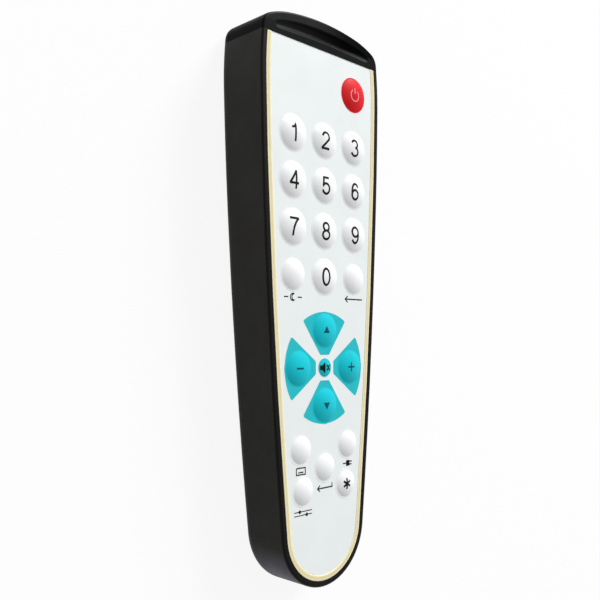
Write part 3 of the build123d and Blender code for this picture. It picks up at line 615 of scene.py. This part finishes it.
def film_profile(key):
    """The dome from its skirt on the sheet to its crown."""
    skirt = key.radius + SKIRT
    profile = [(skirt, 0), (skirt, FILM_LIFT)]
    for step in range(DOME_RINGS + 1):
        reach = key.spring * (1 - step / DOME_RINGS)
        profile.append((reach, max(key.rise(reach), FILM_LIFT)))
    return profile


def key_film(key, finish):
    """The film over a key; its skirt has the colour of the sheet or print that it lies on."""
    points, faces = turned(film_profile(key), key)
    piece = make_piece("film_" + key.name, points, faces, finish)
    piece.data.materials.append(MATERIALS["print_teal" if key.name in FAN_KEYS else "sheet"])
    for face in piece.data.polygons:
        offset = face.center - on_face(key.x, key.y, 0)
        across = offset - OUT * offset.dot(OUT)
        if across.length > key.spring:
            face.material_index = 1
            face.use_smooth = False
    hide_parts("key_" + key.name)
    return bend_with(piece)


def key_core(key, finish):
    """The hard key under its film, with its carbon pill.

    It is the CAD key, with the dome a film's thickness lower.
    """
    mesh = frame["nodes"]["key_" + key.name].data.copy()
    mesh.materials.clear()
    mesh.materials.append(MATERIALS[finish])
    mesh.materials.append(MATERIALS["pill"])
    for vertex in mesh.vertices:
        if vertex.co.dot(OUT) > FACE_LEVEL - WELD:
            vertex.co -= OUT * FILM_THICK
    pill_top = FACE_LEVEL + key.low + PILL_THICK + WELD
    for face in mesh.polygons:
        if all(mesh.vertices[index].co.dot(OUT) < pill_top for index in face.vertices):
            face.material_index = 1
    piece = new_object("core_" + key.name, mesh)
    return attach(piece, key.body)


def key_finish(name):
    if name == "power":
        return "key_red"
    return "key_teal" if name in TEAL_KEYS else "key_white"


for key in KEYS.values():
    key_film(key, key_finish(key.name))
    key_core(key, key_finish(key.name))


# Drawn marks: strokes and filled shapes, laid on a dome or on the flat sheet. They are drawn in
# millimetres, in steps that are short enough to follow a dome
STROKE_STEP = 0.45
FILL_STEP = 0.5
FLAT_FILL_STEP = 2.0
MITRE_LIMIT = 0.5

# Widths of the pens that draw the marks
FIGURE_PEN = 0.82
STAR_PEN = 0.75
SIGN_PEN = 0.6
POWER_PEN = 0.5
ARROW_PEN = 0.45
SYMBOL_PEN = 0.4
SLIDER_PEN = 0.3


def arc(centre, radii, start, stop, steps=20):
    """Points of an ellipse's arc, from a start to a stop angle in degrees."""
    angles = [math.radians(start + (stop - start) * step / steps) for step in range(steps + 1)]
    return [(centre[0] + radii[0] * math.cos(a), centre[1] + radii[1] * math.sin(a)) for a in angles]


def circle(centre, radius, start, stop, steps=20):
    """Points of a circle's arc, from a start to a stop angle in degrees."""
    return arc(centre, (radius, radius), start, stop, steps)


def between(start, stop, share):
    """The point at a share of the way from one point to another."""
    return (start[0] + (stop[0] - start[0]) * share, start[1] + (stop[1] - start[1]) * share)


def evenly(line, pitch):
    """A line with points added so that no step is longer than the pitch."""
    points = [line[0]]
    for start, stop in zip(line, line[1:]):
        parts = max(1, math.ceil(math.dist(start, stop) / pitch))
        points += [between(start, stop, part / parts) for part in range(1, parts + 1)]
    return points


def stroke_ribbon(line, width):
    """Left edge, middle and right edge of a line drawn with a flat pen, point by point."""
    line = evenly(line, STROKE_STEP)
    rows = []
    for index, (x, y) in enumerate(line):
        before = line[max(index - 1, 0)]
        after = line[min(index + 1, len(line) - 1)]
        into = Vector((x - before[0], y - before[1]))
        out = Vector((after[0] - x, after[1] - y))
        into = into.normalized() if into.length else out.normalized()
        out = out.normalized() if out.length else into
        middle = (into + out).normalized()
        side = Vector((-middle.y, middle.x))
        reach = width / 2 / max(MITRE_LIMIT, middle.dot(into))
        rows.append([(x + side.x * reach * share, y + side.y * reach * share) for share in (1, 0, -1)])
    return rows


def strokes_mesh(lines, width, lay):
    """Points and faces of several strokes; lay turns a flat place into a point in space."""
    points = []
    faces = []
    for line in lines:
        for index, row in enumerate(stroke_ribbon(line, width)):
            points += [lay(*place) for place in row]
            if index:
                last = len(points) - 3
                for column in (0, 1):
                    here = last + column
                    faces.append((here - 3, here, here + 1, here - 2))
    return points, faces


def filled_mesh(outline, lay, pitch=FILL_STEP):
    """Points and faces of a filled shape, in rings about its middle that follow its outline."""
    middle = tuple(sum(values) / len(outline) for values in zip(*outline))
    edge = evenly(outline + outline[:1], pitch)[:-1]
    reach = max(math.dist(middle, point) for point in edge)
    rings = max(1, math.ceil(reach / pitch))
    points = [lay(*middle)]
    faces = []
    count = len(edge)
    for ring in range(1, rings + 1):
        points += [lay(*between(middle, place, ring / rings)) for place in edge]
        first = 1 + (ring - 1) * count
        for index in range(count):
            after = (index + 1) % count
            if ring == 1:
                faces.append((0, first + index, first + after))
            else:
                inner = first - count
                faces.append((inner + index, first + index, first + after, inner + after))
    return points, faces


def joined(*meshes):
    """Several meshes' points and faces as one."""
    points = []
    faces = []
    for more_points, more_faces in meshes:
        start = len(points)
        points += more_points
        faces += [tuple(start + corner for corner in face) for face in more_faces]
    return points, faces


def drawing(lines, pen, fills, lay):
    """Points and faces of a mark's strokes and filled shapes."""
    return joined(strokes_mesh(lines, pen, lay), *(filled_mesh(outline, lay) for outline in fills))


def on_dome(key):
    """Lays a mark, drawn about the key's centre, on its dome."""
    return lambda u, v: key.point(u * MM, v * MM)


def on_sheet(x, y, lift=INK_LIFT):
    """Lays a mark, drawn about a place on the face, on the sheet."""
    return lambda u, v: on_face(x + u * MM, y + v * MM, lift)


# Numerals, as the centre lines of a thin upright hand
FIGURE_SHIFT = -0.1
FIGURES = {
    "1": [arc((-1.3, 2.85), (1.7, 1.15), -90, -8) + [(0.42, 2.85), (0.42, -3.05)]],
    "2": [
        arc((0.0, 1.25), (1.6, 1.6), 172, -28) + [(-1.72, -2.55), (-1.72, -2.84)],
        [(-1.98, -2.84), (1.78, -2.84)],
    ],
    "3": [arc((-0.05, 1.45), (1.42, 1.4), 162, -82), arc((-0.05, -1.32), (1.7, 1.52), 84, -164)],
    "4": [
        [(0.74, 2.9), (-2.05, -1.3)],
        [(-2.25, -1.3), (1.95, -1.3)],
        [(0.72, 3.15), (0.72, -3.2)],
    ],
    "5": [
        [(1.55, 2.84), (-1.02, 2.84), (-1.42, -0.1)] + arc((-0.02, -1.05), (1.7, 1.8), 146, -162),
    ],
    "6": [arc((0.02, -1.15), (1.6, 1.7), 0, 360, 36), arc((0.12, -0.1), (1.7, 2.95), 196, 36)],
    "7": [[(-2.05, 2.84), (1.65, 2.84)], arc((3.9, -2.9), (4.6, 6.3), 112, 182)],
    "8": [arc((0.0, 1.48), (1.38, 1.37), 0, 360, 36), arc((0.0, -1.35), (1.68, 1.5), 0, 360, 36)],
    "9": [arc((-0.02, 1.15), (1.6, 1.7), 0, 360, 36), arc((-0.12, 0.1), (1.7, 2.95), 16, -144)],
    "0": [arc((0.0, 0.0), (1.68, 2.84), 0, 360, 48)],
}


def dome_mark(name, key_name, finish, lines=(), pen=SIGN_PEN, fills=()):
    """A mark on a key's dome, laid where the dome is at rest."""
    key = KEYS[key_name]
    points, faces = drawing(lines, pen, fills, on_dome(key))
    return bend_with(make_piece(name, points, faces, finish))


for digit, figure_lines in FIGURES.items():
    shifted = [[(x + FIGURE_SHIFT, y) for x, y in line] for line in figure_lines]
    dome_mark("figure_" + digit, digit, "ink_black", shifted, FIGURE_PEN)


# Pictograms on the domes
STAR_REACH = 1.9
SIGN_REACH = 1.6
ARROW_REACH = 1.5
ARROW_FOOT = 0.9

star_lines = []
for star_angle in (90, 150, 210):
    tip_x = STAR_REACH * math.cos(math.radians(star_angle))
    tip_y = STAR_REACH * math.sin(math.radians(star_angle))
    star_lines.append([(-tip_x, -tip_y), (tip_x, tip_y)])
dome_mark("mark_star", "star", "ink_black", star_lines, STAR_PEN)

power_lines = [circle((0, -0.2), 2.1, 125, 415, 40), [(0, 0.4), (0, 2.5)]]
dome_mark("mark_power", "power", "ink_pink", power_lines, POWER_PEN)

rising = [(-ARROW_REACH, -ARROW_FOOT), (ARROW_REACH, -ARROW_FOOT), (0, ARROW_REACH)]
falling = [(-x, -y) for x, y in rising]
dome_mark("mark_channel_up", "channel_up", "ink_teal", fills=[rising])
dome_mark("mark_channel_down", "channel_down", "ink_teal", fills=[falling])

level_bar = [(-SIGN_REACH, 0), (SIGN_REACH, 0)]
upright_bar = [(0, -SIGN_REACH), (0, SIGN_REACH)]
dome_mark("mark_volume_up", "volume_up", "ink_teal", [level_bar, upright_bar])
dome_mark("mark_volume_down", "volume_down", "ink_teal", [level_bar])

speaker = [(-2.5, -0.8), (-1.6, -0.8), (-0.1, -2.0), (-0.1, 2.0), (-1.6, 0.8), (-2.5, 0.8)]
cross = [[(0.5, 1.0), (2.4, -1.0)], [(0.5, -1.0), (2.4, 1.0)]]
dome_mark("mark_mute", "mute", "ink_black", cross, fills=[speaker])


# Flat prints on the sheet: first the fans round the mute key
WEDGE_ARC = 19.25
WEDGE_CORNER_ANGLE = 31.3
WEDGE_ROUND = 0.7
WEDGE_NECK = (2.55, 4.4)
WEDGE_NECK_STEPS = 8
WEDGE_CORNER_STEPS = 12
WEDGE_ARC_STEPS = 24


def wedge_outline():
    """A rounded fan that opens upwards, from its narrow neck to its outer arc."""
    spread = math.radians(WEDGE_CORNER_ANGLE)
    inner = WEDGE_ARC - WEDGE_ROUND
    corner = (inner * math.sin(spread), inner * math.cos(spread))
    neck_x, neck_y = WEDGE_NECK
    lean = math.degrees(math.atan2(corner[1] - neck_y, corner[0] - neck_x))
    top = 90 - math.degrees(math.atan2(corner[0], corner[1]))
    neck = (neck_x - WEDGE_ROUND, neck_y + WEDGE_ROUND)
    half = circle(neck, WEDGE_ROUND, -90, lean - 90, WEDGE_NECK_STEPS)
    half += circle(corner, WEDGE_ROUND, lean - 90, top, WEDGE_CORNER_STEPS)
    half += circle((0, 0), WEDGE_ARC, top, 90, WEDGE_ARC_STEPS)[1:]
    return half + [(-x, y) for x, y in half[-2::-1]]


def wedge_print(name, turn):
    """One teal fan beside the mute key, turned to its place."""
    cos = math.cos(math.radians(turn))
    sin = math.sin(math.radians(turn))
    outline = [(x * cos - y * sin, x * sin + y * cos) for x, y in wedge_outline()]
    lay = on_sheet(CENTRE.x, CENTRE.y, PRINT_LIFT)
    points, faces = filled_mesh(outline, lay, FLAT_FILL_STEP)
    piece = make_piece(name, points, faces, "print_teal", smooth=False)
    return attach(piece, "housing")


for fan, turn in (("up", 0), ("left", 90), ("down", 180), ("right", 270)):
    wedge_print("print_fan_" + fan, turn)


def sheet_mark(name, place, lines, pen=SYMBOL_PEN, fills=()):
    """A small black pictogram under a key, at a place measured from the mute key."""
    lay = on_sheet(CENTRE.x + place[0] * MM, CENTRE.y + place[1] * MM)
    points, faces = drawing(lines, pen, fills, lay)
    piece = make_piece(name, points, faces, "ink_black", smooth=False)
    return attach(piece, "housing")


# Prints under the keys: their places from the mute key
SLEEP_PLACE = (-15.4, 23.9)
PREVIOUS_PLACE = (15.4, 24.2)
CAPTIONS_PLACE = (-11.7, -34.2)
CABLE_PLACE = (11.7, -34.0)
ENTER_PLACE = (0.0, -40.8)
SETUP_PLACE = (-10.6, -48.1)

moon = circle((0, 0), 1.2, 60, 300, 24) + circle((0.55, 0), 1.05, 270, 90, 20)
dashes = [[(2.2, 0), (4.2, 0)], [(-4.2, 0), (-2.2, 0)]]
sheet_mark("print_sleep", SLEEP_PLACE, [moon] + dashes)

back_arrow = [[(-4.6, 0), (4.6, 0)], [(-3.3, 1.1), (-4.6, 0), (-3.3, -1.1)]]
sheet_mark("print_previous", PREVIOUS_PLACE, back_arrow, ARROW_PEN)

screen_line = [(-2.1, 1.1), (2.1, 1.1), (2.1, -1.1), (-2.1, -1.1), (-2.1, 1.1)]
caption_line = [(-1.2, -0.35), (1.2, -0.35)]
sheet_mark("print_captions", CAPTIONS_PLACE, [screen_line, caption_line])

plug_lines = [[(-2.4, 0), (-0.6, 0)], [(1.1, 0.5), (2.3, 0.5)], [(1.1, -0.5), (2.3, -0.5)]]
plug_body = [(-0.7, -1.0), (1.1, -1.0), (1.1, 1.0), (-0.7, 1.0)]
sheet_mark("print_cable", CABLE_PLACE, plug_lines, fills=[plug_body])

enter_shaft = [(3.6, 1.1), (3.6, -0.3), (-3.6, -0.3)]
enter_head = [(-2.5, 0.7), (-3.6, -0.3), (-2.5, -1.3)]
sheet_mark("print_enter", ENTER_PLACE, [enter_shaft, enter_head], ARROW_PEN)

slider_lines = [[(-4.2, 0.6), (4.2, 0.6)], [(-4.2, -0.6), (4.2, -0.6)]]
knobs = [circle((-1.6, 0.6), 0.6, 0, 330, 11), circle((1.7, -0.6), 0.6, 0, 330, 11)]
sheet_mark("print_setup", SETUP_PLACE, slider_lines, SLIDER_PEN, knobs)


# The border bead: the CAD strip with its edges rounded over and a paler band along both
BEAD_ROUND = 0.15 * MM
BEAD_ROUND_STEPS = 3
QUARTER_CIRCLE = 0.5
BEAD_EDGE = 0.4 * MM
FLAT_ANGLE = math.radians(1)
SHARP_ANGLE = math.radians(40)


def welded(node):
    """An editable copy of a CAD node's mesh, joined up and freed of its flat triangles."""
    work = bmesh.new()
    work.from_mesh(frame["nodes"][node].data)
    bmesh.ops.remove_doubles(work, verts=work.verts, dist=WELD)
    bmesh.ops.dissolve_limit(work, angle_limit=FLAT_ANGLE, verts=work.verts, edges=work.edges)
    return work


def rounded_over(work):
    """Bevels the sharp edges of a mesh."""
    sharp = [edge for edge in work.edges if edge.is_manifold and edge.calc_face_angle() > SHARP_ANGLE]
    bmesh.ops.bevel(
        work,
        geom=sharp,
        offset=BEAD_ROUND,
        segments=BEAD_ROUND_STEPS,
        profile=QUARTER_CIRCLE,
        affect="EDGES",
    )


def border_bead():
    """The bead in the place of the CAD strip, on the strip's own body."""
    work = welded("border_strip")
    rounded_over(work)
    crown = [face for face in work.faces if face.normal.dot(OUT) > math.cos(FLAT_ANGLE)]
    for face in work.faces:
        face.material_index = 1
    bmesh.ops.inset_region(work, faces=crown, thickness=BEAD_EDGE)
    for face in crown:
        face.material_index = 0
    mesh = bpy.data.meshes.new("border_bead")
    work.to_mesh(mesh)
    work.free()
    mesh.materials.append(MATERIALS["bead"])
    mesh.materials.append(MATERIALS["bead_edge"])
    mesh.polygons.foreach_set("use_smooth", [True] * len(mesh.polygons))
    piece = new_object("border_bead", mesh)
    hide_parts("border_strip")
    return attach(piece, frame["nodes"]["border_strip"]["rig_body"])


border_bead()


# Floor, light and camera. The floor and the lamp are measured in metres, the floor's specks in
# millimetres
FLOOR_SIZE = 8.0
FLOOR_SEGMENTS = 96
FLOOR_SPECK = 4.0
FLOOR_GREY = 0.92
FLOOR_SHADE = 0.99
FLOOR_ROUGHNESS = 0.9
WHITE_SHARE = 0.9
SKY = 0.35


def seen_directly(tree):
    """1 where the camera, a reflection or a view through glass looks, and 0 for other light."""
    path = tree.nodes.new("ShaderNodeLightPath")
    sight = path.outputs["Is Camera Ray"]
    for kind in ("Is Glossy Ray", "Is Transmission Ray"):
        add = tree.nodes.new("ShaderNodeMath")
        add.operation = "ADD"
        add.use_clamp = True
        tree.links.new(sight, add.inputs[0])
        tree.links.new(path.outputs[kind], add.inputs[1])
        sight = add.outputs["Value"]
    return sight


def white_to_camera(tree, shader_output, target):
    """Shows near-white to the camera and in reflections, and keeps some of the real shading."""
    share = tree.nodes.new("ShaderNodeMath")
    share.operation = "MULTIPLY"
    share.inputs[1].default_value = WHITE_SHARE
    tree.links.new(seen_directly(tree), share.inputs[0])
    glow = tree.nodes.new("ShaderNodeEmission")
    glow.inputs["Strength"].default_value = 1.0
    mix = tree.nodes.new("ShaderNodeMixShader")
    tree.links.new(share.outputs["Value"], mix.inputs["Fac"])
    tree.links.new(shader_output, mix.inputs[1])
    tree.links.new(glow.outputs["Emission"], mix.inputs[2])
    tree.links.new(mix.outputs["Shader"], target)


def make_floor():
    """The pale table, rounded off as a large disc so that no edge shows."""
    work = bmesh.new()
    bmesh.ops.create_circle(work, cap_ends=True, radius=FLOOR_SIZE / 2, segments=FLOOR_SEGMENTS)
    mesh = bpy.data.meshes.new("floor")
    work.to_mesh(mesh)
    work.free()
    material, tree, shader = new_material("floor_white")
    grain = noise(tree, FLOOR_SPECK)
    tone = fade(tree, grain, NOISE_RANGE, grey(FLOOR_GREY * FLOOR_SHADE), grey(FLOOR_GREY))
    tree.links.new(tone, shader.inputs["Base Color"])
    shader.inputs["Roughness"].default_value = FLOOR_ROUGHNESS
    output = tree.nodes["Material Output"]
    white_to_camera(tree, shader.outputs["BSDF"], output.inputs["Surface"])
    mesh.materials.append(material)
    new_object("floor", mesh)


def make_world():
    """A plain sky: a soft grey light, seen as white."""
    world = bpy.data.worlds.new("studio")
    world.use_nodes = True
    bpy.context.scene.world = world
    tree = world.node_tree
    backdrop = tree.nodes["Background"]
    strength = remap(tree, seen_directly(tree), SKY, 1.0, WHOLE)
    tree.links.new(strength, backdrop.inputs["Strength"])
    backdrop.inputs["Color"].default_value = (*WHITE, 1)


# The softbox stands low beyond the head, to the right
LAMP_DIRECTION = Vector((0.58, 0.92, 0.5)).normalized()
LAMP_DISTANCE = 5.0
LAMP_SIZE = 1.9
LAMP_POWER = 360.0


def make_lamp():
    """A square softbox that looks at the object."""
    light = bpy.data.lights.new("key_lamp", "AREA")
    light.size = LAMP_SIZE
    light.energy = LAMP_POWER
    lamp = new_object("key_lamp", light)
    lamp.location = LAMP_DIRECTION * LAMP_DISTANCE
    lamp.rotation_mode = "QUATERNION"
    lamp.rotation_quaternion = LAMP_DIRECTION.to_track_quat("Z", "Y")


# The camera, fitted to the photograph: its place from the mute key's centre on the face, in
# millimetres across, along and out of the face, and its axes in the same three directions.
# Lens and sensor are in millimetres too
CAMERA_PLACE = (-192.7, 9.2, 180.2)
CAMERA_RIGHT = (0.7063, 0.0, 0.7079)
CAMERA_AHEAD = (0.7069, 0.0539, -0.7053)
CAMERA_LENS = 45.53
CAMERA_SENSOR = 36.0
CAMERA_NEAR = 10 * MM


def face_direction(across, along, out):
    return ACROSS * across + UP_FACE * along + OUT * out


def make_camera():
    """The camera at the photograph's place and angle."""
    data = bpy.data.cameras.new("camera")
    data.lens = CAMERA_LENS
    data.sensor_width = CAMERA_SENSOR
    data.clip_start = CAMERA_NEAR
    camera = new_object("camera", data)
    ahead = face_direction(*CAMERA_AHEAD).normalized()
    right = face_direction(*CAMERA_RIGHT)
    right = (right - ahead * right.dot(ahead)).normalized()
    up = right.cross(ahead)
    x, y, out = (value * MM for value in CAMERA_PLACE)
    place = on_face(CENTRE.x + x, CENTRE.y + y, out)
    turn = Matrix((right, up, -ahead)).transposed().to_4x4()
    camera.matrix_world = Matrix.Translation(place) @ turn
    bpy.context.scene.camera = camera


make_floor()
make_world()
make_lamp()
make_camera()
bpy.context.scene.view_settings.view_transform = "Standard"
